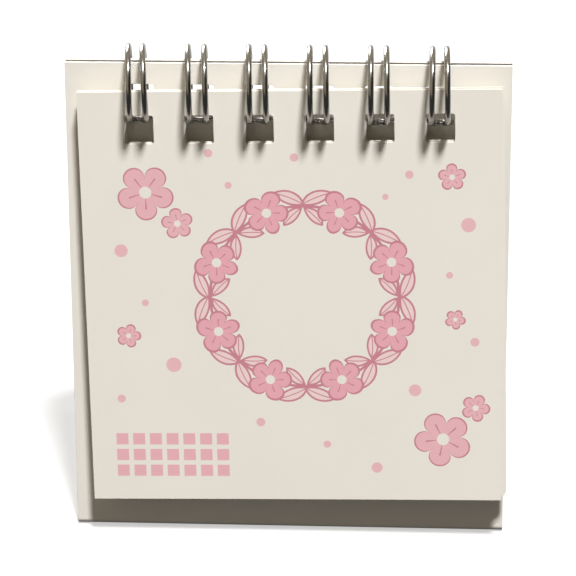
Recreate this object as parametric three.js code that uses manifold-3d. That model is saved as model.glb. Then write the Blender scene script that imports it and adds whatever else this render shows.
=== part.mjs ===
// Mini desk calendar: a folded card easel, a block of month leaves and a cover leaf, all held by
// one twin-loop binding wire. Millimetres, +Z up, the printed front faces -Y.
import * as THREE from 'three';
import { mergeVertices } from 'three/addons/utils/BufferGeometryUtils.js';
import Module from 'manifold-3d';

// Easel card
const standWidth = 63;
const standHeight = 70.5;      // along the leaning panel, from the fold to the top edge
const standLean = 15;          // degrees from upright
const cardThickness = 0.45;
const topGap = 0.55;           // between the two panels at their top edges
const foldInnerRadius = 0.35;

// Binding
const loopCount = 6;
const loopPitch = 25.4 / 3;
const loopRadius = 5.2;        // to the middle of the wire
const wireDiameter = 0.85;
const fingerWidth = 2.3;       // between the two wires of one loop
const bindingShift = 0.2;      // the punched row sits slightly right of the middle of the card
const loopBelowTop = 2.55;     // loop centre below the top edge of the front panel
const loopForward = 1.7;       // loop centre in front of the front panel
const rootForward = 0.75;      // straight links between loops, in front of the front panel
const tipGap = 0.3;            // left open between a loop's tip and the links
const linkBendRadius = 0.7;
const endStub = 1.5;           // cut ends of the wire past the outer loops

// Punched holes
const holeWidth = 4.15;
const leafHoleHeight = 4.15;
const standHoleHeight = 4.9;
const standHoleMargin = 3.1;   // card left above a hole
const leafHoleMargin = 3.4;    // paper left above a hole
const holeCornerRadius = 0.35;
const punchReach = 0.7;        // a punch goes this far past both faces of the card
const leafHang = 0.75;         // space between the wire and the upper edge of a leaf's hole

// Leaves
const coverWidth = 59.6;
const coverHeight = 61.2;
const coverThickness = 0.25;
const coverTilt = 1.0;         // degrees, the leaf hangs slightly askew
const coverShift = 0.15;       // sideways from the punched row
const blockWidth = 60.0;
const blockHangsBelow = 0.3;   // the month leaves are this much longer than the cover
const blockThickness = 0.9;    // the month leaves together
const blockTilt = 1.1;
const blockShift = 0.35;
const blockCornerRadius = 1.2;
const coverCornerRadius = 0.25;
const paperGap = 0.3;          // between the block, the cover and the links behind them

// Fineness of round stretches
const foldSegments = 5;
const cornerSegments = 3;
const wireSides = 8;
const wireStep = 22.5;         // degrees round a loop
const bendSegments = 3;
const mergeTolerance = 1e-5;

const lean = THREE.MathUtils.degToRad(standLean);
const wireRadius = wireDiameter / 2;
const standDepth = 2 * (standHeight * Math.sin(lean) + cardThickness * Math.cos(lean)) + topGap;
const loopHeight = standHeight - loopBelowTop;
const leafHoleTop = loopHeight - loopRadius + wireRadius + leafHang;
const standHoleTop = standHeight - standHoleMargin;
const blockBack = rootForward + wireRadius + paperGap;
const coverBack = blockBack + blockThickness + paperGap;
const blockHeight = coverHeight + blockHangsBelow;

// Middle of each loop, counted from the left
const loopPositions = Array.from({ length: loopCount },
  (_, i) => bindingShift + (i - (loopCount - 1) / 2) * loopPitch);

// Place of the front panel: local x across, local y up the panel, local z out of its face
const frontPlace = new THREE.Matrix4().makeRotationX(Math.PI / 2 - lean);
// The back panel is the front one turned round the upright line halfway between them
const backPlace = new THREE.Matrix4().makeTranslation(0, standDepth, 0)
  .multiply(new THREE.Matrix4().makeRotationZ(Math.PI))
  .multiply(frontPlace);

const wasm = await Module();
wasm.setup();

function toSolid(geometry) {
  const bare = geometry.clone();
  bare.deleteAttribute('normal');
  bare.deleteAttribute('uv');
  const merged = mergeVertices(bare, mergeTolerance);
  return new wasm.Manifold(new wasm.Mesh({
    numProp: 3,
    vertProperties: new Float32Array(merged.attributes.position.array),
    triVerts: new Uint32Array(merged.index.array),
  }));
}

function toGeometry(solid) {
  const mesh = solid.getMesh();
  const geometry = new THREE.BufferGeometry();
  geometry.setAttribute('position', new THREE.BufferAttribute(mesh.vertProperties, 3));
  geometry.setIndex(new THREE.BufferAttribute(mesh.triVerts, 1));
  geometry.computeVertexNormals();
  return geometry;
}

// Closed outline whose corners are replaced by arcs of their own radius.
function roundedOutline(corners, segments) {
  const points = [];
  corners.forEach(([x, y, radius], i) => {
    const here = new THREE.Vector2(x, y);
    const before = corners[(i + corners.length - 1) % corners.length];
    const after = corners[(i + 1) % corners.length];
    const back = new THREE.Vector2(before[0], before[1]).sub(here).normalize();
    const ahead = new THREE.Vector2(after[0], after[1]).sub(here).normalize();
    if (!radius) {
      points.push(here);
      return;
    }
    const half = Math.acos(THREE.MathUtils.clamp(back.dot(ahead), -1, 1)) / 2;
    const centre = back.clone().add(ahead).normalize()
      .multiplyScalar(radius / Math.sin(half)).add(here);
    const start = here.clone().addScaledVector(back, radius / Math.tan(half)).sub(centre);
    const end = here.clone().addScaledVector(ahead, radius / Math.tan(half)).sub(centre);
    const sweep = Math.atan2(start.cross(end), start.dot(end));
    for (let k = 0; k <= segments; k += 1) {
      points.push(start.clone().rotateAround(new THREE.Vector2(), sweep * k / segments).add(centre));
    }
  });
  return points;
}

function rectangle(left, bottom, width, height, radii) {
  const [lowLeft, lowRight, highRight, highLeft] = radii;
  return roundedOutline([
    [left, bottom, lowLeft],
    [left + width, bottom, lowRight],
    [left + width, bottom + height, highRight],
    [left, bottom + height, highLeft],
  ], cornerSegments);
}

function holeOutline(middle, top, height) {
  const r = holeCornerRadius;
  return rectangle(middle - holeWidth / 2, top - height, holeWidth, height, [r, r, r, r]);
}

// One card folded into a front panel, a base and a back panel, with a row of holes in each panel.
function easelStand() {
  const t = cardThickness;
  const up = [Math.sin(lean), Math.cos(lean)];
  const outer = foldInnerRadius + t;
  const frontTop = [standHeight * up[0], standHeight * up[1]];
  const frontTopInner = [frontTop[0] + t * up[1], frontTop[1] - t * up[0]];
  // The inner fold corner lies where the inner faces of the panel and the base meet
  const innerFoldY = t * (up[0] + 1) / up[1];
  const profile = roundedOutline([
    [frontTop[0], frontTop[1], 0],
    [0, 0, outer],
    [standDepth, 0, outer],
    [standDepth - frontTop[0], frontTop[1], 0],
    [standDepth - frontTopInner[0], frontTopInner[1], 0],
    [standDepth - innerFoldY, t, foldInnerRadius],
    [innerFoldY, t, foldInnerRadius],
    [frontTopInner[0], frontTopInner[1], 0],
  ], foldSegments);
  const sheet = new THREE.ExtrudeGeometry(new THREE.Shape(profile),
    { depth: standWidth, bevelEnabled: false, steps: 1 });
  sheet.translate(0, 0, -standWidth / 2);
  sheet.applyMatrix4(new THREE.Matrix4().makeBasis(
    new THREE.Vector3(0, 1, 0), new THREE.Vector3(0, 0, 1), new THREE.Vector3(1, 0, 0)));
  let solid = toSolid(sheet);
  const cutDepth = cardThickness + 2 * punchReach;
  for (const [place, side] of [[frontPlace, 1], [backPlace, -1]]) {
    for (const x of loopPositions) {
      const cut = new THREE.ExtrudeGeometry(
        new THREE.Shape(holeOutline(side * x, standHoleTop, standHoleHeight)),
        { depth: cutDepth, bevelEnabled: false, steps: 1 });
      cut.translate(0, 0, -(cardThickness + cutDepth) / 2);
      cut.applyMatrix4(place);
      solid = solid.subtract(toSolid(cut));
    }
  }
  return toGeometry(solid);
}

// A leaf or a block of leaves: the outline is turned by its tilt round the middle of the punched
// row, and the holes turn with it.
function leafStack({ width, height, thickness, tilt, shift, radii }) {
  const top = leafHoleTop + leafHoleMargin;
  const middle = bindingShift + shift;
  const pivot = new THREE.Vector2(middle, leafHoleTop - leafHoleHeight / 2);
  const turn = (points) => points.map(
    (p) => p.clone().rotateAround(pivot, THREE.MathUtils.degToRad(tilt)));
  const shape = new THREE.Shape(turn(rectangle(middle - width / 2, top - height, width, height, radii)));
  for (const x of loopPositions) {
    shape.holes.push(new THREE.Path(turn(holeOutline(x + shift, leafHoleTop, leafHoleHeight))));
  }
  return new THREE.ExtrudeGeometry(shape, { depth: thickness, bevelEnabled: false, steps: 1 });
}

// A curve through chosen points, so that the straight runs are coarse and the bends fine.
class WireCurve extends THREE.Curve {
  constructor(points) {
    super();
    this.points = points;
  }

  getPointAt(u, target = new THREE.Vector3()) {
    const place = u * (this.points.length - 1);
    const i = Math.min(Math.floor(place), this.points.length - 2);
    return target.lerpVectors(this.points[i], this.points[i + 1], place - i);
  }

  getTangentAt(u, target = new THREE.Vector3()) {
    const i = Math.round(u * (this.points.length - 1));
    const before = this.points[Math.max(i - 1, 0)];
    const after = this.points[Math.min(i + 1, this.points.length - 1)];
    return target.subVectors(after, before).normalize();
  }
}

// The wire is drawn flat first, across x and along the arc a of the loops, and then rolled onto
// the cylinder of the loops. It runs along a link, up one side of a loop, round its tip, back down
// the other side and along the next link.
function wireRoute() {
  const rootArc = loopRadius * Math.asin((loopForward - rootForward) / loopRadius);
  const fullTurn = 2 * Math.PI * loopRadius;
  const tipArc = fullTurn + rootArc - (wireDiameter + tipGap);
  const half = fingerWidth / 2;
  const stepLength = THREE.MathUtils.degToRad(wireStep) * loopRadius;
  const flat = [];
  const bend = (x, a, radius, from, to, segments) => {
    for (let k = 0; k <= segments; k += 1) {
      const angle = from + (to - from) * k / segments;
      flat.push([x + radius * Math.cos(angle), a + radius * Math.sin(angle)]);
    }
  };
  const run = (x, from, to) => {
    const count = Math.max(1, Math.round(Math.abs(to - from) / stepLength));
    for (let k = 1; k < count; k += 1) flat.push([x, from + (to - from) * k / count]);
  };
  const lowArc = rootArc + linkBendRadius;
  const highArc = tipArc - half;
  const quarter = Math.PI / 2;
  flat.push([loopPositions[0] - half - endStub, rootArc]);
  for (const x of loopPositions) {
    bend(x - half - linkBendRadius, lowArc, linkBendRadius, -quarter, 0, bendSegments);
    run(x - half, lowArc, highArc);
    bend(x, highArc, half, Math.PI, 0, 2 * bendSegments);
    run(x + half, highArc, lowArc);
    bend(x + half + linkBendRadius, lowArc, linkBendRadius, Math.PI, Math.PI + quarter, bendSegments);
  }
  flat.push([loopPositions[loopCount - 1] + half + endStub, rootArc]);
  return flat.map(([x, a]) => {
    const turn = a / loopRadius;
    return new THREE.Vector3(x,
      loopHeight - loopRadius * Math.cos(turn),
      loopForward - loopRadius * Math.sin(turn));
  });
}

function bindingWire() {
  const curve = new WireCurve(wireRoute());
  const section = new THREE.Shape();
  section.absarc(0, 0, wireRadius, 0, 2 * Math.PI, false);
  return new THREE.ExtrudeGeometry(section, {
    steps: curve.points.length - 1,
    curveSegments: wireSides / 2,   // a full arc gets two points for each
    extrudePath: curve,
    bevelEnabled: false,
  });
}

function piece(name, geometry, color, roughness, metalness) {
  const material = new THREE.MeshStandardMaterial({ color, roughness, metalness });
  const mesh = new THREE.Mesh(geometry, material);
  mesh.name = name;
  return mesh;
}

const calendar = new THREE.Group();
calendar.add(piece('easel_stand', easelStand(), 0xf2efe6, 0.7, 0));

// What hangs on the front panel is placed in that panel's own frame
const frontPanel = new THREE.Group();
frontPanel.applyMatrix4(frontPlace);
frontPanel.add(piece('binding_wire', bindingWire(), 0xc8c8c6, 0.25, 1));

const block = piece('month_leaves', leafStack({
  width: blockWidth,
  height: blockHeight,
  thickness: blockThickness,
  tilt: blockTilt,
  shift: blockShift,
  radii: [coverCornerRadius, blockCornerRadius, coverCornerRadius, coverCornerRadius],
}), 0xf4f1ea, 0.75, 0);
block.position.z = blockBack;
frontPanel.add(block);

const cover = piece('cover_leaf', leafStack({
  width: coverWidth,
  height: coverHeight,
  thickness: coverThickness,
  tilt: coverTilt,
  shift: coverShift,
  radii: [coverCornerRadius, coverCornerRadius, coverCornerRadius, coverCornerRadius],
}), 0xf0ebe2, 0.6, 0);
cover.position.z = coverBack;
frontPanel.add(cover);
calendar.add(frontPanel);

// The origin lies on the table under the middle of the calendar
calendar.updateMatrixWorld(true);
const extent = new THREE.Box3().setFromObject(calendar, true);
const middle = extent.getCenter(new THREE.Vector3());
calendar.position.set(-middle.x, -middle.y, -extent.min.z);

export default calendar;
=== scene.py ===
"""Mini desk calendar: a folded card easel, six twin loops of binding wire, a fan of month leaves
and a cover leaf with a rose wreath print, on a pale studio floor."""
import math
import bpy
import numpy as np
from mathutils import Matrix, Vector


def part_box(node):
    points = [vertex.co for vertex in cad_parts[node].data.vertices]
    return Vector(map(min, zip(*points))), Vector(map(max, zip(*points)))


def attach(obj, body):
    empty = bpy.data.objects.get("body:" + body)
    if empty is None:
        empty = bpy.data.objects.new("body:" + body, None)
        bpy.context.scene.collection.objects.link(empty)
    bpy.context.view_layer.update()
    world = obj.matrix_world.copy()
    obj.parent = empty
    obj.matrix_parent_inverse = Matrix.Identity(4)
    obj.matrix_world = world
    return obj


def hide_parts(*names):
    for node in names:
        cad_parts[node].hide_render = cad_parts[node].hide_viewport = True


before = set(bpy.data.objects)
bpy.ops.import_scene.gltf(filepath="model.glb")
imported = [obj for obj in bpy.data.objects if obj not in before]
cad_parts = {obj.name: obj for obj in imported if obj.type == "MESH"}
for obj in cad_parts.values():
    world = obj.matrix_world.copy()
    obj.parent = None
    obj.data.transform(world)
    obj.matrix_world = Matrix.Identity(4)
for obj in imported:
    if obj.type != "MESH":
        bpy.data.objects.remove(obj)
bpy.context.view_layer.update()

bl_info = {
    "name": "Mini desk calendar",
    "version": (1, 0, 0),
    "blender": (4, 5, 0),
    "location": "View3D > Sidebar > Calendar",
    "description": "Builds a wire-bound desk calendar on a folded card easel",
    "category": "Object",
}

MM = 0.001
LEAN = math.radians(15)
SIN_LEAN = math.sin(LEAN)
COS_LEAN = math.cos(LEAN)

# Easel card, from the frame's box and the card's own thickness
STAND_LOW, STAND_HIGH = [Vector(corner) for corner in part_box("easel_stand")]
STAND_MIDDLE = (STAND_LOW.x + STAND_HIGH.x) / 2
STAND_WIDTH = STAND_HIGH.x - STAND_LOW.x
STAND_HEIGHT = STAND_HIGH.z / COS_LEAN    # along the leaning panel
CARD = 0.45 * MM
TOP_GAP = 0.55 * MM                       # between the two panels at their top edges
FOLD_RADIUS = 0.8 * MM                    # outside of the folds
STAND_DEPTH = 2 * (STAND_HEIGHT * SIN_LEAN + CARD * COS_LEAN) + TOP_GAP
FOLD_Y = (STAND_LOW.y + STAND_HIGH.y) / 2 - STAND_DEPTH / 2
FOLD_POINTS = 17
PANEL_ROWS = 30
BASE_ROWS = 12

# Loops of wire
LOOPS = 6
PITCH = 25.4 * MM / 3
ROW_SHIFT = 0.2 * MM                      # from the middle of the card to the middle of the row
LOOP_XS = ROW_SHIFT + (np.arange(LOOPS) - (LOOPS - 1) / 2) * PITCH
LOOP_RADIUS = 5.2 * MM
LOOP_HEIGHT = STAND_HEIGHT - 2.55 * MM    # of the loops' middle, along the panel
LOOP_FORWARD = 1.7 * MM                   # of the loops' middle, out of the panel
ROOT_FORWARD = 0.75 * MM                  # of the links between the loops
WIRE_RADIUS = 0.425 * MM
FINGER = 1.15 * MM                        # half the distance between a loop's two wires
BEND = 0.7 * MM                           # radius of the bends at the links
LEFT_END = 1.5 * MM                       # cut end past the first loop
RIGHT_END_ASIDE = 0.7 * MM                # cut end at the last loop
RIGHT_END_DOWN = 0.8 * MM
WIRE_SIDES = 20
SIDE_SAMPLES = 72                         # points along each of a loop's two wires
TIP_SAMPLES = 17                          # points round its tip
BEND_SAMPLES = 7                          # points round a bend at a link
END_SAMPLES = 9                           # points down the right end

# What handling did to each loop, from left to right: how far its top leans to the left, how much
# it is turned about the upright, and the share by which its top is squeezed
LOOP_LEAN = np.linspace(0.22, 0.06, LOOPS) * MM
LOOP_YAW = np.linspace(0.09, 0.01, LOOPS)
LOOP_SQUEEZE = np.array([0.13, 0.0, 0.05, 0.05, 0.05, 0.13])

# Punched holes
HOLE_WIDTH = 4.15 * MM
HOLE_CORNER = 0.35 * MM
STAND_HOLE_HEIGHT = 4.9 * MM
STAND_HOLE_MARGIN = 3.1 * MM              # card above a hole
LEAF_HOLE_HEIGHT = 4.15 * MM
LEAF_HOLE_MARGIN = 3.4 * MM               # paper above a hole
HANG_GAP = 0.75 * MM                      # between the wire and the upper edge of the leaves' holes
LEAF_HOLE_TOP = LOOP_HEIGHT - LOOP_RADIUS + WIRE_RADIUS + HANG_GAP
BELOW_HOLE = 1.6 * MM                     # stretch below a hole that shares its finer faces
HOLE_RINGS = 5
RING_CROWDING = 1.4                       # the rings of faces are closer together near the hole
SIDE_LINES = 8

# Leaves
PAPER_GAP = 0.3 * MM
BLOCK_BACK = ROOT_FORWARD + WIRE_RADIUS + PAPER_GAP
BLOCK_THICKNESS = 0.9 * MM
MONTH_WIDTH = 59.9 * MM
MONTH_HEIGHT = 61.5 * MM
MONTH_CORNER = 1.2 * MM
CORNER_ROWS = 9
MONTH_PAPER_SHARE = 0.72                  # of a leaf's share of the block, the rest is air
COVER_BACK = BLOCK_BACK + BLOCK_THICKNESS + PAPER_GAP
COVER_THICKNESS = 0.25 * MM
COVER_WIDTH = 59.6 * MM
COVER_HEIGHT = 61.2 * MM
COVER_TILT = math.radians(1.0)
COVER_SHIFT = 0.15 * MM

# Print of the cover, in millimetres from the leaf's lower left corner. Blossoms are x, y, radius
# and turn, dots are x, y and radius, and the wreath's leaves are a centre in one sector, half
# length, half width and turn.
WREATH_CENTRE = (31.5, 31.0)
WREATH_RADIUS = 13.5
WREATH_REPEATS = 8
WREATH_STEM = 0.2
WREATH_BLOSSOM = 3.1
WREATH_BLOSSOM_TURN = 0.31
WREATH_LEAVES = [
    ((-3.6, 1.35, 0), 2.1, 0.85, -0.55), ((-3.5, -1.35, 0), 1.9, 0.75, 0.6),
    ((3.6, 1.35, 0), 2.1, 0.85, 0.55), ((3.5, -1.35, 0), 1.9, 0.75, -0.6),
]
LOOSE_BLOSSOMS = [
    (9.2, 46.6, 4.0, 0.3), (13.6, 42.0, 2.2, 0.8), (52.6, 48.6, 1.9, 0.9),
    (51.2, 9.4, 4.1, 0.5), (55.9, 14.2, 2.0, 0.1), (6.0, 25.2, 1.7, 0.0), (53.0, 27.6, 1.4, 0.2),
]
DOTS = [
    (5.4, 38.0, 0.95), (18.3, 52.3, 0.6), (21.0, 47.6, 0.5), (46.6, 49.0, 0.6),
    (54.9, 41.6, 1.05), (8.6, 30.2, 0.5), (52.2, 34.2, 0.5), (55.8, 24.2, 0.65),
    (12.4, 20.8, 1.1), (47.2, 16.9, 0.9), (4.6, 15.6, 0.6), (34.4, 8.6, 0.55),
    (24.8, 12.0, 0.65), (43.2, 45.8, 0.45), (30.4, 51.6, 0.6), (41.6, 5.0, 0.8),
]
DAYS_LOW = 3.6
DAYS_LEFT = 3.6
DAY_SQUARE = 1.75
DAY_PITCH = 2.45
DAY_COLUMNS = 7
DAY_ROWS = 3
LOOSE_LINE = 0.12

# Share of the rose in the print's fills
WREATH_INK = 1.0
LOOSE_INK = 0.85
DOT_INK = 0.8
DAY_INK = 0.9

BUMP_HEIGHT = 0.02 * MM                   # of the fine dents in paper and wire

# Camera, worked out from the corners of the easel in the photograph
CAMERA_PLACE = Vector((0.02081, -0.32567, 0.24039))
CAMERA_AIM = Vector((-0.05535, 0.83962, -0.54033))
CAMERA_ROLL = math.radians(-1.25)
CAMERA_LENS = 163.93

# Light: the shadow of the leaves fills the strip below them and a narrow one at their left
CALENDAR_MIDDLE = Vector((0, 0, 0.035))
KEY_TOWARDS = Vector((0.145, -0.199, 0.969))
KEY_DISTANCE = 3.0
KEY_SIZE = 0.4
FILL_TOWARDS = Vector((-0.3, 0.8, 0.35))
FILL_DISTANCE = 1.0
FILL_SIZE = 0.6
SKY_TOWARDS = Vector((-0.70, -0.06, 0.71))


def on_panel(x, s, n):
    """Points of the front panel's own frame: x across, s up the panel from its fold, n out of its
    face. The panel leans back, so s adds height and depth, and n adds height and comes forward."""
    y = FOLD_Y + s * SIN_LEAN - n * COS_LEAN
    z = s * COS_LEAN + n * SIN_LEAN
    return np.stack([STAND_MIDDLE + x, y, z], axis=-1)


def new_object(name, points, faces, uvs=None, caps=()):
    """Mesh object at the origin from an array of points and an array of faces. uvs holds one pair
    for each point. caps are further faces, each a list of point numbers."""
    mesh = bpy.data.meshes.new(name)
    mesh.from_pydata(points.tolist(), [], faces.tolist() + list(caps))
    mesh.update()
    if uvs is not None:
        layer = mesh.uv_layers.new(name="leaf")
        corner_points = np.empty(len(mesh.loops), dtype=np.int32)
        mesh.loops.foreach_get("vertex_index", corner_points)
        layer.data.foreach_set("uv", uvs[corner_points].astype(np.float32).ravel())
    piece = bpy.data.objects.new(name, mesh)
    bpy.context.collection.objects.link(piece)
    return piece


def grid_patch(xs, ss):
    """Points and faces of the grid of all xs with all ss, turned counterclockwise."""
    gx, gs = np.meshgrid(xs, ss)
    points = np.stack([gx.ravel(), gs.ravel()], axis=-1)
    columns = len(xs)
    start = (np.arange(len(ss) - 1)[:, None] * columns + np.arange(columns - 1)[None, :]).ravel()
    faces = np.stack([start, start + 1, start + columns + 1, start + columns], axis=-1)
    return points, faces


def hole_patch(middle, low, high, hole_middle, hole_height, per_side):
    """Rings of faces between a rounded square hole and the rectangle of its cell. Both outlines
    are walked with the same number of points, and the rings in between are blends of the two. A
    point of the hole is its point of the square, pulled in to the corner's arc."""
    step = np.arange(per_side) / per_side * 2 - 1
    one = np.ones(per_side)
    square = np.concatenate([
        np.stack([step, -one], axis=-1), np.stack([one, step], axis=-1),
        np.stack([-step, one], axis=-1), np.stack([-one, -step], axis=-1)])
    outer = np.stack([middle + square[:, 0] * PITCH / 2,
                      (low + high) / 2 + square[:, 1] * (high - low) / 2], axis=-1)
    half = np.array([HOLE_WIDTH, hole_height]) / 2
    at = square * half
    core = np.clip(at, -(half - HOLE_CORNER), half - HOLE_CORNER)
    away = at - core
    away /= np.linalg.norm(away, axis=1)[:, None]
    inner = np.array([middle, hole_middle]) + core + away * HOLE_CORNER
    weight = np.linspace(0, 1, HOLE_RINGS + 1)[:, None, None] ** RING_CROWDING
    points = (inner[None] * (1 - weight) + outer[None] * weight).reshape(-1, 2)
    count = 4 * per_side
    ring, place = np.meshgrid(np.arange(HOLE_RINGS), np.arange(count), indexing="ij")
    here = (ring * count + place).ravel()
    beside = (ring * count + (place + 1) % count).ravel()
    faces = np.stack([here, here + count, beside + count, beside], axis=-1)
    return points, faces


def punched_sheet(left, right, heights, bands, hole_shift=0.0, per_side=16):
    """Flat sheet with rows of square holes, as points (x, s) and faces. heights are the rows of
    its plain stretch. bands are (low, high, hole middle, hole height) for the stretches that hold
    a row of holes. Equal points of neighbouring patches are joined."""
    first = LOOP_XS[0] + hole_shift - PITCH / 2
    last = LOOP_XS[-1] + hole_shift + PITCH / 2
    cell_lines = np.linspace(first, last, LOOPS * per_side + 1)
    left_lines = np.linspace(left, first, SIDE_LINES)
    right_lines = np.linspace(last, right, SIDE_LINES)
    all_lines = np.concatenate([left_lines[:-1], cell_lines, right_lines[1:]])
    patches = [grid_patch(all_lines, heights)]
    for low, high, hole_middle, hole_height in bands:
        side_lines = np.linspace(low, high, per_side + 1)
        patches.append(grid_patch(left_lines, side_lines))
        patches.append(grid_patch(right_lines, side_lines))
        for x in LOOP_XS + hole_shift:
            patches.append(hole_patch(x, low, high, hole_middle, hole_height, per_side))
    starts = np.cumsum([0] + [len(points) for points, _ in patches])
    points = np.concatenate([points for points, _ in patches])
    faces = np.concatenate([faces + start for (_, faces), start in zip(patches, starts)])
    same_point = 1e-8
    _, keep, joined = np.unique(np.round(points / same_point).astype(np.int64), axis=0,
                                return_index=True, return_inverse=True)
    return points[keep], joined.ravel()[faces]


def thicken(piece, thickness, other_slot=0):
    """Gives a sheet its thickness behind the drawn face. other_slot is the material of its back
    and its rim."""
    solid = piece.modifiers.new("thickness", "SOLIDIFY")
    solid.thickness = thickness
    solid.offset = -1
    solid.use_even_offset = True
    solid.material_offset = other_slot
    solid.material_offset_rim = other_slot


# Materials

def feed(tree, value, socket):
    """Links a socket to the input, or sets the input to a value."""
    if isinstance(value, bpy.types.NodeSocket):
        tree.links.new(value, socket)
    else:
        socket.default_value = value


def add_node(tree, kind, **values):
    """Node of a kind, with attributes and named inputs set or linked."""
    node = tree.nodes.new(kind)
    for key, value in values.items():
        if hasattr(node, key):
            setattr(node, key, value)
        else:
            feed(tree, value, node.inputs[key.replace("_", " ")])
    return node


def spread(tree):
    """Lays the nodes out in columns, in the order in which they were made."""
    for i, node in enumerate(tree.nodes):
        node.location = (220 * (i // 8), -260 * (i % 8))


def maths(tree, operation, *operands):
    """Output of a Math node. Each operand is a socket or a number."""
    node = add_node(tree, "ShaderNodeMath", operation=operation)
    for operand, socket in zip(operands, node.inputs):
        feed(tree, operand, socket)
    return node.outputs[0]


def hypotenuse(tree, first, second):
    """Square root of the sum of two squares."""
    return maths(tree, "SQRT", maths(tree, "ADD", maths(tree, "MULTIPLY", first, first),
                                     maths(tree, "MULTIPLY", second, second)))


def varied(tree, value, middle, width):
    """Number that varies about a middle while the value runs from 0 to 1."""
    return maths(tree, "MULTIPLY_ADD", value, width, middle - width / 2)


def split_vector(tree, vector):
    """The three parts of a vector, as the outputs X, Y and Z."""
    node = add_node(tree, "ShaderNodeSeparateXYZ", Vector=vector)
    return node.outputs


def mix_colour(tree, factor, first, second):
    """Colour between two others, each a socket or four numbers."""
    node = add_node(tree, "ShaderNodeMix", data_type="RGBA")
    for value, index in ((factor, 0), (first, 6), (second, 7)):
        feed(tree, value, node.inputs[index])
    return node.outputs[2]


def mix_value(tree, factor, first, second):
    """Number between two others, each a socket or a number."""
    node = add_node(tree, "ShaderNodeMix")
    for value, index in ((factor, 0), (first, 2), (second, 3)):
        feed(tree, value, node.inputs[index])
    return node.outputs[0]


def smooth_range(tree, value, low, high, start, end):
    """Number that eases from start to end while the value runs from low to high."""
    node = add_node(tree, "ShaderNodeMapRange", interpolation_type="SMOOTHSTEP", Value=value,
                    From_Min=low, From_Max=high, To_Min=start, To_Max=end)
    return node.outputs[0]


def new_group(name, inputs, outputs):
    """Shader node group with its two end nodes. inputs are (name, type, default), outputs are
    names of numbers."""
    group = bpy.data.node_groups.new(name, "ShaderNodeTree")
    for label, kind, default in inputs:
        socket = group.interface.new_socket(name=label, in_out="INPUT", socket_type=kind)
        if default is not None:
            socket.default_value = default
    for label in outputs:
        group.interface.new_socket(name=label, in_out="OUTPUT", socket_type="NodeSocketFloat")
    source = group.nodes.new("NodeGroupInput")
    sink = group.nodes.new("NodeGroupOutput")
    return group, source.outputs, sink.inputs


def place_group(tree, maker, **values):
    """The maker's group as a node of the tree, made when it is first placed."""
    node = tree.nodes.new("ShaderNodeGroup")
    node.node_tree = bpy.data.node_groups.get(maker.__name__) or maker()
    for key, value in values.items():
        feed(tree, value, node.inputs[key.replace("_", " ")])
    return node.outputs


def paper_grain():
    """Fine fibres and soft clouding of paper: Tone is near 1, Height is for bump."""
    group, source, sink = new_group(
        "paper_grain",
        [("Point", "NodeSocketVector", None), ("Fibre scale", "NodeSocketFloat", 2600.0),
         ("Cloud scale", "NodeSocketFloat", 90.0), ("Depth", "NodeSocketFloat", 0.05)],
        ["Tone", "Height"])
    fibre = add_node(group, "ShaderNodeTexNoise", Vector=source["Point"],
                     Scale=source["Fibre scale"], Detail=4.0, Roughness=0.65, Distortion=0.6)
    cloud = add_node(group, "ShaderNodeTexNoise", Vector=source["Point"],
                     Scale=source["Cloud scale"], Detail=3.0, Roughness=0.5)
    fibre_part = maths(group, "SUBTRACT", fibre.outputs["Fac"], 0.5)
    cloud_part = maths(group, "SUBTRACT", cloud.outputs["Fac"], 0.5)
    both = maths(group, "MULTIPLY_ADD", fibre_part, 0.5, cloud_part)
    feed(group, maths(group, "MULTIPLY_ADD", both, source["Depth"], 1.0), sink["Tone"])
    feed(group, fibre.outputs["Fac"], sink["Height"])
    spread(group)
    return group


def blossom():
    """Five-petalled blossom in a plane, in millimetres. The edge of the petals lies at the radius
    times a wave of the angle. Fill is inside the edge, Outline is a thin band on it and along the
    petals' middles, and Eye is a small disc in the middle."""
    petals = 5
    notch = 0.45          # reach of the notches between petals, as a share of the radius
    roundness = 0.45      # power of the wave, less is blunter
    vein_length = 0.62    # share of a petal
    vein_edge = 0.992     # the wave above which a point is on a vein
    eye = 0.22
    group, source, sink = new_group(
        "blossom",
        [("Point", "NodeSocketVector", None), ("Centre", "NodeSocketVector", None),
         ("Radius", "NodeSocketFloat", 3.0), ("Turn", "NodeSocketFloat", 0.0),
         ("Line", "NodeSocketFloat", 0.16)],
        ["Fill", "Outline", "Eye"])
    away = add_node(group, "ShaderNodeVectorMath", operation="SUBTRACT")
    feed(group, source["Point"], away.inputs[0])
    feed(group, source["Centre"], away.inputs[1])
    part = split_vector(group, away.outputs[0])
    length = add_node(group, "ShaderNodeVectorMath", operation="LENGTH", Vector=away.outputs[0])
    distance = length.outputs["Value"]
    turned = maths(group, "ADD", maths(group, "ARCTAN2", part["Y"], part["X"]), source["Turn"])
    half_turns = maths(group, "MULTIPLY", turned, petals / 2)
    wave = maths(group, "ABSOLUTE", maths(group, "COSINE", half_turns))
    lobe = maths(group, "MULTIPLY_ADD", maths(group, "POWER", wave, roundness), 1 - notch, notch)
    edge = maths(group, "MULTIPLY", lobe, source["Radius"])
    beyond = maths(group, "SUBTRACT", distance, edge)
    feed(group, maths(group, "LESS_THAN", beyond, 0.0), sink["Fill"])
    rim = maths(group, "LESS_THAN", maths(group, "ABSOLUTE", beyond), source["Line"])
    inside = maths(group, "LESS_THAN", distance, maths(group, "MULTIPLY", edge, vein_length))
    vein = maths(group, "MULTIPLY", inside, maths(group, "GREATER_THAN", wave, vein_edge))
    feed(group, maths(group, "MAXIMUM", rim, vein), sink["Outline"])
    eye_edge = maths(group, "MULTIPLY", source["Radius"], eye)
    feed(group, maths(group, "LESS_THAN", distance, eye_edge), sink["Eye"])
    spread(group)
    return group


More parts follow.
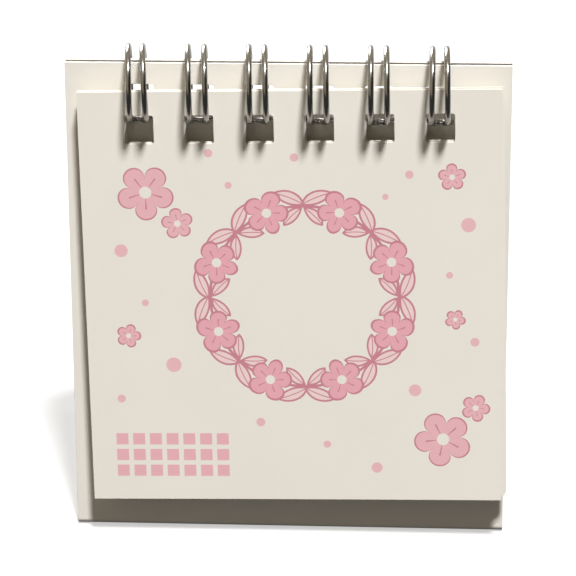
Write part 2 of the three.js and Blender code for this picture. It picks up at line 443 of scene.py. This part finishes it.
def pointed_leaf():
    """Pointed leaf in a plane: the overlap of two equal circles. Half length and half width give
    the circles' radius as (l*l + w*w) / (2*w) and their distance from the axis as that less w."""
    half_vein = 0.07
    group, source, sink = new_group(
        "pointed_leaf",
        [("Point", "NodeSocketVector", None), ("Centre", "NodeSocketVector", None),
         ("Half length", "NodeSocketFloat", 2.0), ("Half width", "NodeSocketFloat", 0.8),
         ("Turn", "NodeSocketFloat", 0.0), ("Line", "NodeSocketFloat", 0.14)],
        ["Fill", "Outline"])
    half_length, half_width = source["Half length"], source["Half width"]
    turn = add_node(group, "ShaderNodeVectorRotate", rotation_type="Z_AXIS",
                    Vector=source["Point"], Center=source["Centre"], Angle=source["Turn"])
    away = add_node(group, "ShaderNodeVectorMath", operation="SUBTRACT")
    feed(group, turn.outputs[0], away.inputs[0])
    feed(group, source["Centre"], away.inputs[1])
    part = split_vector(group, away.outputs[0])
    across = maths(group, "ABSOLUTE", part["Y"])
    squares = maths(group, "ADD", maths(group, "MULTIPLY", half_length, half_length),
                    maths(group, "MULTIPLY", half_width, half_width))
    radius = maths(group, "DIVIDE", squares, maths(group, "MULTIPLY", half_width, 2.0))
    reach = maths(group, "ADD", across, maths(group, "SUBTRACT", radius, half_width))
    distance = hypotenuse(group, part["X"], reach)
    beyond = maths(group, "SUBTRACT", distance, radius)
    fill = maths(group, "LESS_THAN", beyond, 0.0)
    feed(group, fill, sink["Fill"])
    rim = maths(group, "LESS_THAN", maths(group, "ABSOLUTE", beyond), source["Line"])
    vein = maths(group, "MULTIPLY", maths(group, "LESS_THAN", across, half_vein), fill)
    feed(group, maths(group, "MAXIMUM", rim, vein), sink["Outline"])
    spread(group)
    return group


def new_material(name):
    """Material with its node tree."""
    material = bpy.data.materials.new(name)
    material.use_nodes = True
    return material, material.node_tree


def finish_paper(tree, colour, roughness, bump):
    """Paper surface: the colour times the grain's tone, with a faint bump of the fibres."""
    shader = tree.nodes["Principled BSDF"]
    place = add_node(tree, "ShaderNodeTexCoord")
    grain = place_group(tree, paper_grain, Point=place.outputs["Object"])
    toned = add_node(tree, "ShaderNodeVectorMath", operation="SCALE", Scale=grain["Tone"])
    feed(tree, colour, toned.inputs[0])
    feed(tree, toned.outputs[0], shader.inputs["Base Color"])
    rough = varied(tree, grain["Height"], roughness, 0.12)
    feed(tree, rough, shader.inputs["Roughness"])
    raised = add_node(tree, "ShaderNodeBump", Strength=bump, Distance=BUMP_HEIGHT,
                      Height=grain["Height"])
    feed(tree, raised.outputs[0], shader.inputs["Normal"])
    shader.inputs["Specular IOR Level"].default_value = 0.35
    spread(tree)


def plain_paper(name, colour, roughness, bump=0.25):
    """Paper or card without print."""
    material, tree = new_material(name)
    finish_paper(tree, colour, roughness, bump)
    return material


def day_squares(tree, across, up):
    """Mask of the block of blank day squares: both places are wrapped at the squares' pitch."""
    mask = 1.0
    for place, start, count in ((across, DAYS_LEFT, DAY_COLUMNS), (up, DAYS_LOW, DAY_ROWS)):
        along = maths(tree, "SUBTRACT", place, start)
        wrapped = maths(tree, "FLOORED_MODULO", along, DAY_PITCH)
        inside = maths(tree, "LESS_THAN", wrapped, DAY_SQUARE)
        after = maths(tree, "GREATER_THAN", along, 0.0)
        before = maths(tree, "LESS_THAN", along, DAY_PITCH * count)
        mask = maths(tree, "MULTIPLY", maths(tree, "MULTIPLY", inside, mask),
                     maths(tree, "MULTIPLY", after, before))
    return mask


def cover_print(tree, props, across, up):
    """Print of the cover: a wreath of blossoms and leaves, loose dots and blossoms, and a block of
    blank day squares. The wreath is one sector, repeated by wrapping the angle round its centre."""
    paper, rose, line, pale = [(*colour, 1) for colour in (
        props.paper_colour, props.rose_colour, props.line_colour, props.pale_colour)]
    plane = add_node(tree, "ShaderNodeCombineXYZ", X=across, Y=up).outputs[0]
    from_x = maths(tree, "SUBTRACT", across, WREATH_CENTRE[0])
    from_y = maths(tree, "SUBTRACT", up, WREATH_CENTRE[1])
    outwards = maths(tree, "SUBTRACT", hypotenuse(tree, from_x, from_y), WREATH_RADIUS)
    sector = 2 * math.pi / WREATH_REPEATS
    angle = maths(tree, "ARCTAN2", from_y, from_x)
    wrapped = maths(tree, "SUBTRACT", maths(tree, "FLOORED_MODULO", angle, sector), sector / 2)
    along = maths(tree, "MULTIPLY", wrapped, WREATH_RADIUS)
    local = add_node(tree, "ShaderNodeCombineXYZ", X=along, Y=outwards).outputs[0]

    def flower(colour, ink, **values):
        shape = place_group(tree, blossom, **values)
        fill = maths(tree, "MULTIPLY", shape["Fill"], ink)
        colour = mix_colour(tree, fill, colour, rose)
        colour = mix_colour(tree, shape["Outline"], colour, line)
        return mix_colour(tree, shape["Eye"], colour, paper)

    stem = maths(tree, "LESS_THAN", maths(tree, "ABSOLUTE", outwards), WREATH_STEM)
    colour = mix_colour(tree, stem, paper, line)
    for centre, half_length, half_width, turn in WREATH_LEAVES:
        shape = place_group(tree, pointed_leaf, Point=local, Centre=centre,
                            Half_length=half_length, Half_width=half_width, Turn=turn)
        colour = mix_colour(tree, shape["Fill"], colour, pale)
        colour = mix_colour(tree, shape["Outline"], colour, line)
    colour = flower(colour, WREATH_INK, Point=local, Centre=(0, 0, 0), Radius=WREATH_BLOSSOM,
                    Turn=WREATH_BLOSSOM_TURN)
    for x, y, radius, turn in LOOSE_BLOSSOMS:
        colour = flower(colour, LOOSE_INK, Point=plane, Centre=(x, y, 0), Radius=radius,
                        Turn=turn, Line=LOOSE_LINE)
    for x, y, radius in DOTS:
        gap = add_node(tree, "ShaderNodeVectorMath", operation="DISTANCE", Vector=plane)
        gap.inputs[1].default_value = (x, y, 0)
        dot = maths(tree, "LESS_THAN", gap.outputs["Value"], radius)
        colour = mix_colour(tree, maths(tree, "MULTIPLY", dot, DOT_INK), colour, rose)
    squares = maths(tree, "MULTIPLY", day_squares(tree, across, up), DAY_INK)
    return mix_colour(tree, squares, colour, rose)


def cover_paper(props):
    """Cover paper with its print, read from the leaf's own UV map in millimetres."""
    material, tree = new_material("cover_print_paper")
    mapped = add_node(tree, "ShaderNodeUVMap", uv_map="leaf")
    part = split_vector(tree, mapped.outputs[0])
    across = maths(tree, "MULTIPLY", part["X"], COVER_WIDTH / MM)
    up = maths(tree, "MULTIPLY", part["Y"], COVER_HEIGHT / MM)
    finish_paper(tree, cover_print(tree, props, across, up), 0.55, 0.15)
    return material


def plated_wire(props):
    """Plated steel: bright, with faint drawn streaks in its roughness and dents in its bump."""
    material, tree = new_material("plated_wire")
    shader = tree.nodes["Principled BSDF"]
    shader.inputs["Metallic"].default_value = 1.0
    place = add_node(tree, "ShaderNodeTexCoord")
    streak = add_node(tree, "ShaderNodeTexNoise", Vector=place.outputs["Object"], Scale=900.0,
                      Detail=3.0).outputs["Fac"]
    darkest_streak = 0.88
    dull = (*[part * darkest_streak for part in props.colour], 1)
    base = mix_colour(tree, streak, dull, (*props.colour, 1))
    feed(tree, base, shader.inputs["Base Color"])
    rough = varied(tree, streak, props.roughness, 0.14)
    feed(tree, rough, shader.inputs["Roughness"])
    raised = add_node(tree, "ShaderNodeBump", Strength=0.12, Distance=BUMP_HEIGHT, Height=streak)
    feed(tree, raised.outputs[0], shader.inputs["Normal"])
    spread(tree)
    return material


# Pieces

def stand_profile():
    """Outer outline of the folded card as a path, from the front panel's top edge down to the
    front fold, back along the base, round the back fold and up to the back panel's top edge. Each
    fold is an arc through 180 degrees less the corner's own angle."""
    corner = math.pi / 2 - LEAN
    reach = FOLD_RADIUS / math.tan(corner / 2)
    turn = np.linspace(0, math.pi - corner, FOLD_POINTS)
    centre = np.array([reach, FOLD_RADIUS])
    start = -math.pi / 2 - (math.pi - corner)
    front_arc = centre + FOLD_RADIUS * np.stack(
        [np.cos(start + turn), np.sin(start + turn)], axis=-1)
    front_top = np.array([[STAND_HEIGHT * SIN_LEAN, STAND_HEIGHT * COS_LEAN]])
    half = np.concatenate([front_top, front_arc])
    back = half[::-1] * np.array([-1, 1]) + np.array([STAND_DEPTH, 0])
    path = np.concatenate([half, back])
    lengths = np.concatenate([[0], np.cumsum(np.linalg.norm(np.diff(path, axis=0), axis=1))])
    return path, lengths


def build_easel(props):
    """The flat punched card, bent along the profile: a point's distance down the card is looked up
    in the profile's running length."""
    path, lengths = stand_profile()
    total = lengths[-1]
    band = STAND_HOLE_MARGIN + STAND_HOLE_HEIGHT + BELOW_HOLE
    hole_middle = STAND_HOLE_MARGIN + STAND_HOLE_HEIGHT / 2
    arcs = len(path) // 2
    front = -np.linspace(band, lengths[1], PANEL_ROWS)
    front_fold = -lengths[1:arcs]
    base = -np.linspace(lengths[arcs - 1], lengths[arcs], BASE_ROWS)
    back_fold = -lengths[arcs:-1]
    back = -np.linspace(lengths[-2], total - band, PANEL_ROWS)
    down = np.concatenate([front, front_fold[1:], base[1:], back_fold[1:], back[1:]])
    points, faces = punched_sheet(
        -STAND_WIDTH / 2, STAND_WIDTH / 2, down[::-1],
        [(-band, 0.0, -hole_middle, STAND_HOLE_HEIGHT),
         (-total, -(total - band), -(total - hole_middle), STAND_HOLE_HEIGHT)])
    along = -points[:, 1]
    y = np.interp(along, lengths, path[:, 0])
    z = np.interp(along, lengths, path[:, 1])
    places = np.stack([STAND_MIDDLE + points[:, 0], FOLD_Y + y, z], axis=-1)
    piece = new_object("easel_card", places, faces)
    thicken(piece, CARD)
    soften = piece.modifiers.new("pressed_edges", "BEVEL")
    soften.width = 0.06 * MM
    soften.segments = 2
    soften.limit_method = "ANGLE"
    soften.angle_limit = math.radians(60)
    piece.data.materials.append(plain_paper("easel_card_white", props.colour, 0.5, bump=0.2))
    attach(piece, "stand_body")
    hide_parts("easel_stand")


def wire_route():
    """Middle line of the wire, drawn flat: x across, and the distance along the loops' arc, which
    is 0 below their middle and grows backwards, up and over. It is made of links, quarter bends,
    straight sides and half round tips. The right end is bent down and aside behind the leaves."""
    root = LOOP_RADIUS * math.asin((LOOP_FORWARD - ROOT_FORWARD) / LOOP_RADIUS)
    tip = 2 * math.pi * LOOP_RADIUS + root - (2 * WIRE_RADIUS + PAPER_GAP)
    quarter = np.linspace(0, math.pi / 2, BEND_SAMPLES)
    bend_x = BEND - BEND * np.sin(quarter)
    bend_along = root + BEND - BEND * np.cos(quarter)
    side = np.linspace(root + BEND, tip - FINGER, SIDE_SAMPLES)[1:-1]
    over = np.linspace(math.pi, 0, TIP_SAMPLES)
    down = np.linspace(0, 1, END_SAMPLES)

    def stretch(x, along):
        return np.stack(np.broadcast_arrays(x, along), axis=-1)

    runs = [stretch(LOOP_XS[:1] - FINGER - LEFT_END, root)]
    for x in LOOP_XS:
        runs += [
            stretch(x - FINGER - bend_x, bend_along),
            stretch(x - FINGER, side),
            stretch(x + FINGER * np.cos(over), tip - FINGER + FINGER * np.sin(over)),
            stretch(x + FINGER, side[::-1]),
            stretch(x + FINGER + bend_x[::-1], bend_along[::-1]),
        ]
    runs[-1] = stretch(LOOP_XS[-1] + FINGER + RIGHT_END_ASIDE * down ** 2,
                       root + BEND - (BEND + RIGHT_END_DOWN) * down)
    return np.concatenate(runs)


def swayed(flat):
    """The loops as hands and pressing leave them: each leans to the left towards its top, is
    turned so that its front is further right than its back, and is squeezed at the top. The share
    is 0 below the loops' middle and 1 above it."""
    x, along = flat[:, 0], flat[:, 1]
    share = (1 - np.cos(along / LOOP_RADIUS)) / 2
    forward = -LOOP_RADIUS * np.sin(along / LOOP_RADIUS)
    nearest = np.abs(x[:, None] - LOOP_XS).argmin(axis=1)
    middle = LOOP_XS[nearest]
    squeezed = middle + (x - middle) * (1 - LOOP_SQUEEZE[nearest] * share)
    moved = squeezed - LOOP_LEAN[nearest] * share + LOOP_YAW[nearest] * forward
    return np.stack([moved, along], axis=-1)


def build_wire(props):
    """Round section carried along the wire's route, which is rolled onto the loops' cylinder: the
    height is the radius times minus the cosine of the arc's angle, the way forward minus its
    sine. The way out of the cylinder and its cross product with the run give the section's two
    directions. Both ends shrink in two steps to a small cap."""
    flat = swayed(wire_route())
    angle = flat[:, 1] / LOOP_RADIUS
    x = flat[:, 0]
    middle = on_panel(x, LOOP_HEIGHT - LOOP_RADIUS * np.cos(angle),
                      LOOP_FORWARD - LOOP_RADIUS * np.sin(angle))
    axis_line = on_panel(x, np.full(x.shape, LOOP_HEIGHT), LOOP_FORWARD)
    out = (middle - axis_line) / LOOP_RADIUS
    run = np.gradient(middle, axis=0)
    run /= np.linalg.norm(run, axis=1)[:, None]
    beside = np.cross(run, out)

    end_step = np.array([0.0, 0.06, 0.12]) * MM
    end_size = np.array([0.02, 0.8, 1.0]) * WIRE_RADIUS
    head = middle[0] + run[0] * end_step[:, None]
    tail = middle[-1] - run[-1] * end_step[::-1][:, None]
    middle = np.concatenate([head, middle[1:-1], tail])
    size = np.concatenate([end_size, np.full(len(x) - 2, WIRE_RADIUS), end_size[::-1]])
    repeats = np.ones(len(x), dtype=int)
    repeats[[0, -1]] = len(end_size)
    out = np.repeat(out, repeats, axis=0)
    beside = np.repeat(beside, repeats, axis=0)

    turn = np.linspace(0, 2 * math.pi, WIRE_SIDES, endpoint=False)
    section = (np.cos(turn)[None, :, None] * out[:, None, :]
               + np.sin(turn)[None, :, None] * beside[:, None, :])
    points = (middle[:, None, :] + section * size[:, None, None]).reshape(-1, 3)
    ring, place = np.meshgrid(np.arange(len(middle) - 1), np.arange(WIRE_SIDES), indexing="ij")
    here = (ring * WIRE_SIDES + place).ravel()
    after = (ring * WIRE_SIDES + (place + 1) % WIRE_SIDES).ravel()
    walls = np.stack([here, after, after + WIRE_SIDES, here + WIRE_SIDES], axis=-1)
    first_cap = list(range(WIRE_SIDES))[::-1]
    last_cap = list(range(len(points) - WIRE_SIDES, len(points)))
    piece = new_object("twin_loop_wire", points, walls, caps=[first_cap, last_cap])
    mesh = piece.data
    mesh.polygons.foreach_set("use_smooth", np.ones(len(mesh.polygons), dtype=bool))
    mesh.set_sharp_from_angle(angle=math.radians(60))
    mesh.materials.append(plated_wire(props))
    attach(piece, "stand_body")
    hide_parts("binding_wire")


def leaf_sheet(name, width, height, tilt, shift, face, lift=None, corner=0.0, per_side=16,
               rows=60):
    """One leaf. It is drawn flat with its holes, turned by its tilt round the middle of the row,
    and laid in front of the panel at the distance of its front face. lift(u, v) is what it stands
    out further, where u and v run from 0 to 1 across and up the leaf. corner rounds its lower
    right corner by pulling the points of the square corner onto the arc."""
    top = LEAF_HOLE_TOP + LEAF_HOLE_MARGIN
    middle = ROW_SHIFT + shift
    band = top - LEAF_HOLE_MARGIN - LEAF_HOLE_HEIGHT - BELOW_HOLE
    hole_middle = LEAF_HOLE_TOP - LEAF_HOLE_HEIGHT / 2
    bottom = top - height
    heights = np.linspace(bottom, band, rows)
    if corner:
        corner_heights = np.linspace(bottom, bottom + corner, CORNER_ROWS)
        heights = np.unique(np.concatenate([corner_heights, heights]))
    points, faces = punched_sheet(
        middle - width / 2, middle + width / 2, heights,
        [(band, top, hole_middle, LEAF_HOLE_HEIGHT)], shift, per_side)
    u = (points[:, 0] - middle + width / 2) / width
    v = (points[:, 1] - bottom) / height
    flat = points - np.array([middle, hole_middle])
    if corner:
        flat = round_corner(flat, np.array([width / 2, bottom - hole_middle]), corner)
    turned = np.stack([flat[:, 0] * math.cos(tilt) - flat[:, 1] * math.sin(tilt),
                       flat[:, 0] * math.sin(tilt) + flat[:, 1] * math.cos(tilt)], axis=-1)
    out = face + lift(u, v) if lift else face
    places = on_panel(turned[:, 0] + middle, turned[:, 1] + hole_middle, out)
    return new_object(name, places, faces, np.stack([u, v], axis=-1))


def round_corner(flat, corner_point, radius):
    """Points inside the corner's square are pulled towards its inner corner, by the ratio of the
    larger side distance to the straight distance, so the square's edge becomes an arc."""
    centre = corner_point + np.array([-radius, radius])
    away = (flat - centre) * np.array([1, -1])
    inside = (away[:, 0] > 0) & (away[:, 1] > 0)
    straight = np.linalg.norm(away, axis=1)
    larger = np.max(away, axis=1)
    ratio = np.where(inside, larger / np.maximum(straight, 1e-12), 1.0)
    return centre + (flat - centre) * ratio[:, None]


def build_month_leaves(props):
    """The fan of month leaves: thin sheets in one piece, from back to front each a little further
    round and aside."""
    first_tilt, more_tilt = 1.0, 0.42      # degrees, at the back leaf and more at the front one
    first_shift, more_shift = 0.27, 0.1    # millimetres
    leaves = []
    step = BLOCK_THICKNESS / props.count
    sheet = step * MONTH_PAPER_SHARE
    rng = np.random.default_rng(4)
    for i in range(props.count):
        share = i / (props.count - 1)
        tilt = math.radians(first_tilt + more_tilt * share + rng.uniform(-0.04, 0.04))
        shift = (first_shift + more_shift * share + rng.uniform(-0.03, 0.03)) * MM
        face = BLOCK_BACK + step * (i + 1) - (step - sheet) / 2
        leaves.append(leaf_sheet(
            f"month_leaf_{i}", MONTH_WIDTH, MONTH_HEIGHT, tilt, shift, face,
            corner=MONTH_CORNER, per_side=8, rows=16))
    bpy.ops.object.select_all(action="DESELECT")
    for leaf in leaves:
        leaf.select_set(True)
    piece = leaves[0]
    bpy.context.view_layer.objects.active = piece
    bpy.ops.object.join()
    piece.name = "month_leaf_fan"
    thicken(piece, sheet)
    piece.data.materials.append(plain_paper("month_leaf_paper", props.colour, 0.62))
    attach(piece, "stand_body")
    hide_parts("month_leaves")


def build_cover(props):
    """The cover leaf, which stands out a little more towards its lower right corner: the lift
    grows as the height's share, counted down from the bent part's top, to the power 1.5."""
    bent_part = 0.9       # share of the leaf's height that stands out
    left_share = 0.45     # of the lift, along the left edge

    def lift(u, v):
        low = np.clip(1 - v / bent_part, 0, 1)
        return props.corner_lift * low ** 1.5 * (left_share + (1 - left_share) * u ** 2)

    piece = leaf_sheet("cover_sheet", COVER_WIDTH, COVER_HEIGHT, COVER_TILT, COVER_SHIFT,
                       COVER_BACK + COVER_THICKNESS, lift)
    thicken(piece, COVER_THICKNESS, other_slot=1)
    piece.data.materials.append(cover_paper(props))
    piece.data.materials.append(plain_paper("cover_back_paper", props.paper_colour, 0.6))
    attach(piece, "cover_body")
    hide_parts("cover_leaf")


# Stage

def build_camera():
    """Camera of the photograph, rolled a little about its own line of sight."""
    forward = CAMERA_AIM.normalized()
    right = forward.cross(Vector((0, 0, 1))).normalized()
    up = right.cross(forward)
    across = right * math.cos(CAMERA_ROLL) + up * math.sin(CAMERA_ROLL)
    upwards = up * math.cos(CAMERA_ROLL) - right * math.sin(CAMERA_ROLL)
    turn = Matrix((across, upwards, -forward)).transposed()
    data = bpy.data.cameras.new("photo_camera")
    data.sensor_width = 36
    data.lens = CAMERA_LENS
    data.clip_start = 0.01
    camera = bpy.data.objects.new("photo_camera", data)
    camera.matrix_world = Matrix.Translation(CAMERA_PLACE) @ turn.to_4x4()
    bpy.context.collection.objects.link(camera)
    bpy.context.scene.camera = camera


def area_light(name, towards, distance, size, power):
    """Area lamp that looks at the middle of the calendar from a direction."""
    data = bpy.data.lights.new(name, "AREA")
    data.shape = "DISK"
    data.size = size
    data.energy = power
    lamp = bpy.data.objects.new(name, data)
    aim = towards.normalized()
    lamp.location = CALENDAR_MIDDLE + aim * distance
    lamp.rotation_euler = aim.to_track_quat("Z", "Y").to_euler()
    bpy.context.collection.objects.link(lamp)


def build_floor(props):
    """Wide floor, white to the camera and darker to bounced light, so that the shadows on the
    easel stay deep. To the camera a share of its white is its own, so the shadow on it is light.
    Mirrored rays see it white behind the calendar and dim in front of it."""
    half = 3.0
    points = np.array([[-half, -half, 0], [half, -half, 0], [half, half, 0], [-half, half, 0]])
    floor = new_object("studio_floor", points, np.array([[0, 1, 2, 3]]))
    material, tree = new_material("studio_floor_white")
    tree.nodes.remove(tree.nodes["Principled BSDF"])

    def shader(kind, share=1.0, **values):
        colour = (*[part * share for part in props.floor_colour], 1)
        return add_node(tree, kind, Color=colour, **values).outputs[0]

    def mixed(factor, first, second):
        node = add_node(tree, "ShaderNodeMixShader", Fac=factor)
        feed(tree, first, node.inputs[1])
        feed(tree, second, node.inputs[2])
        return node.outputs[0]

    rays = add_node(tree, "ShaderNodeLightPath").outputs
    place = add_node(tree, "ShaderNodeTexCoord").outputs["Object"]
    front_y, back_y, dim = -0.03, 0.05, 0.06
    behind = smooth_range(tree, split_vector(tree, place)["Y"], front_y, back_y, dim, 1.0)
    seen = mixed(props.floor_own, shader("ShaderNodeBsdfDiffuse"), shader("ShaderNodeEmission"))
    bounced = shader("ShaderNodeBsdfDiffuse", props.floor_bounce)
    matt = mixed(rays["Is Camera Ray"], bounced, seen)
    mirrored = shader("ShaderNodeEmission", Strength=behind)
    surface = mixed(rays["Is Glossy Ray"], matt, mirrored)
    feed(tree, surface, tree.nodes["Material Output"].inputs[0])
    spread(tree)
    floor.data.materials.append(material)


def build_world(props):
    """White to the camera, and to matt surfaces a soft, tinted light from the upper left. Mirrored
    rays see a light background behind the calendar, and in front of it a dim room that is darker
    at the right, which draws the dark side of the wires. The ranges below are parts of a ray's
    direction, a vector of length 1."""
    world = bpy.data.worlds.new("studio")
    bpy.context.scene.world = world
    world.use_nodes = True
    tree = world.node_tree
    background = tree.nodes["Background"]
    rays = add_node(tree, "ShaderNodeLightPath").outputs
    camera_ray = rays["Is Camera Ray"]
    towards = add_node(tree, "ShaderNodeTexCoord").outputs["Generated"]
    part = split_vector(tree, towards)
    side = smooth_range(tree, part["X"], -0.3, 0.4, props.mirrored_light, props.mirrored_dark)
    behind = smooth_range(tree, part["Y"], 0.0, 0.5, 0.0, 1.0)
    mirrored = mix_value(tree, behind, side, props.mirrored_light)
    upper_left = add_node(tree, "ShaderNodeVectorMath", operation="DOT_PRODUCT", Vector=towards)
    upper_left.inputs[1].default_value = SKY_TOWARDS
    sky = smooth_range(tree, upper_left.outputs["Value"], 0.2, 0.95, props.ambient,
                       props.side_sky)
    unseen = mix_value(tree, rays["Is Glossy Ray"], sky, mirrored)
    feed(tree, mix_value(tree, camera_ray, unseen, 1.0), background.inputs["Strength"])
    tint = mix_colour(tree, camera_ray, (*props.sky_colour, 1), (1, 1, 1, 1))
    feed(tree, tint, background.inputs["Color"])
    spread(tree)


# Add-on classes

class CalendarCardSettings(bpy.types.PropertyGroup):
    colour: bpy.props.FloatVectorProperty(
        name="Card colour", description="Colour of the easel's card", subtype="COLOR", size=3,
        default=(0.84, 0.81, 0.745))


class CalendarWireSettings(bpy.types.PropertyGroup):
    colour: bpy.props.FloatVectorProperty(
        name="Wire colour", description="Colour of the plating", subtype="COLOR", size=3,
        default=(0.44, 0.435, 0.42))
    roughness: bpy.props.FloatProperty(
        name="Roughness", description="How blurred the wire's reflections are", default=0.22,
        min=0.0, max=1.0)


class CalendarLeafSettings(bpy.types.PropertyGroup):
    count: bpy.props.IntProperty(
        name="Leaves", description="Number of month leaves", default=6, min=2, max=13)
    colour: bpy.props.FloatVectorProperty(
        name="Paper colour", description="Colour of the month leaves", subtype="COLOR", size=3,
        default=(0.88, 0.84, 0.76))


class CalendarCoverSettings(bpy.types.PropertyGroup):
    paper_colour: bpy.props.FloatVectorProperty(
        name="Paper colour", description="Colour of the cover's paper", subtype="COLOR", size=3,
        default=(0.87, 0.83, 0.755))
    rose_colour: bpy.props.FloatVectorProperty(
        name="Rose", description="Main colour of the print", subtype="COLOR", size=3,
        default=(0.84, 0.43, 0.49))
    line_colour: bpy.props.FloatVectorProperty(
        name="Outline", description="Colour of the print's lines", subtype="COLOR", size=3,
        default=(0.62, 0.25, 0.31))
    pale_colour: bpy.props.FloatVectorProperty(
        name="Pale rose", description="Colour of the printed leaves", subtype="COLOR", size=3,
        default=(0.89, 0.68, 0.67))
    corner_lift: bpy.props.FloatProperty(
        name="Corner lift", description="How far the lower right corner stands out", unit="LENGTH",
        default=0.7 * MM, min=0.0, max=2 * MM)


class CalendarStageSettings(bpy.types.PropertyGroup):
    key_power: bpy.props.FloatProperty(
        name="Key light", description="Power of the overhead lamp", unit="POWER", default=146.0)
    fill_power: bpy.props.FloatProperty(
        name="Back fill", description="Power of the soft lamp behind", unit="POWER", default=9.0)
    ambient: bpy.props.FloatProperty(
        name="Ambient", description="Brightness of the studio on matt surfaces", default=0.02)
    side_sky: bpy.props.FloatProperty(
        name="Side sky", description="Brightness of the soft light from the upper left",
        default=0.4, min=0.0)
    sky_colour: bpy.props.FloatVectorProperty(
        name="Sky colour", description="Tint of the studio's soft light", subtype="COLOR", size=3,
        default=(1.0, 0.84, 0.62))
    mirrored_light: bpy.props.FloatProperty(
        name="Mirrored light", description="Brightness that the wire mirrors from behind and left",
        default=0.45, min=0.0)
    mirrored_dark: bpy.props.FloatProperty(
        name="Mirrored dark", description="Brightness that the wire mirrors from the front right",
        default=0.02, min=0.0)
    floor_colour: bpy.props.FloatVectorProperty(
        name="Floor colour", description="Colour of the floor", subtype="COLOR", size=3,
        default=(0.9, 0.9, 0.9))
    floor_own: bpy.props.FloatProperty(
        name="Floor's own white", description="Share of the floor's white that isn't lamplight",
        default=0.6, min=0.0, max=1.0)
    floor_bounce: bpy.props.FloatProperty(
        name="Floor bounce", description="Share of the floor's colour in bounced light",
        default=0.12, min=0.0, max=1.0)


class CALENDAR_OT_easel(bpy.types.Operator):
    """Build the folded card easel"""
    bl_idname = "calendar.easel"
    bl_label = "Card easel"

    def execute(self, context):
        build_easel(context.scene.calendar_card)
        return {"FINISHED"}


class CALENDAR_OT_wire(bpy.types.Operator):
    """Build the twin-loop binding wire"""
    bl_idname = "calendar.wire"
    bl_label = "Binding wire"

    def execute(self, context):
        build_wire(context.scene.calendar_wire)
        return {"FINISHED"}


class CALENDAR_OT_month_leaves(bpy.types.Operator):
    """Build the fan of month leaves"""
    bl_idname = "calendar.month_leaves"
    bl_label = "Month leaves"

    def execute(self, context):
        build_month_leaves(context.scene.calendar_leaves)
        return {"FINISHED"}


class CALENDAR_OT_cover(bpy.types.Operator):
    """Build the printed cover leaf"""
    bl_idname = "calendar.cover"
    bl_label = "Cover leaf"

    def execute(self, context):
        build_cover(context.scene.calendar_cover)
        return {"FINISHED"}


class CALENDAR_OT_stage(bpy.types.Operator):
    """Build the camera, the floor, the world and the lamps"""
    bl_idname = "calendar.stage"
    bl_label = "Studio"

    def execute(self, context):
        props = context.scene.calendar_stage
        context.scene.view_settings.view_transform = "Standard"
        build_camera()
        build_floor(props)
        build_world(props)
        area_light("key_lamp", KEY_TOWARDS, KEY_DISTANCE, KEY_SIZE, props.key_power)
        area_light("back_fill_lamp", FILL_TOWARDS, FILL_DISTANCE, FILL_SIZE, props.fill_power)
        return {"FINISHED"}


class CALENDAR_PT_panel(bpy.types.Panel):
    """Settings and steps of the calendar"""
    bl_idname = "CALENDAR_PT_panel"
    bl_label = "Desk calendar"
    bl_space_type = "VIEW_3D"
    bl_region_type = "UI"
    bl_category = "Calendar"

    def draw(self, context):
        for settings_name, _, operator in STEPS:
            box = self.layout.box()
            settings = getattr(context.scene, settings_name)
            for key in settings.__annotations__:
                box.prop(settings, key)
            box.operator(operator.bl_idname)


STEPS = [
    ("calendar_stage", CalendarStageSettings, CALENDAR_OT_stage),
    ("calendar_card", CalendarCardSettings, CALENDAR_OT_easel),
    ("calendar_wire", CalendarWireSettings, CALENDAR_OT_wire),
    ("calendar_leaves", CalendarLeafSettings, CALENDAR_OT_month_leaves),
    ("calendar_cover", CalendarCoverSettings, CALENDAR_OT_cover),
]


def register():
    for settings_name, settings, operator in STEPS:
        bpy.utils.register_class(settings)
        bpy.utils.register_class(operator)
        setattr(bpy.types.Scene, settings_name, bpy.props.PointerProperty(type=settings))
    bpy.utils.register_class(CALENDAR_PT_panel)


def unregister():
    bpy.utils.unregister_class(CALENDAR_PT_panel)
    for settings_name, settings, operator in reversed(STEPS):
        delattr(bpy.types.Scene, settings_name)
        bpy.utils.unregister_class(operator)
        bpy.utils.unregister_class(settings)


def main():
    register()
    bpy.ops.calendar.stage()
    bpy.ops.calendar.easel()
    bpy.ops.calendar.wire()
    bpy.ops.calendar.month_leaves()
    bpy.ops.calendar.cover()


if __name__ == "__main__":
    main()
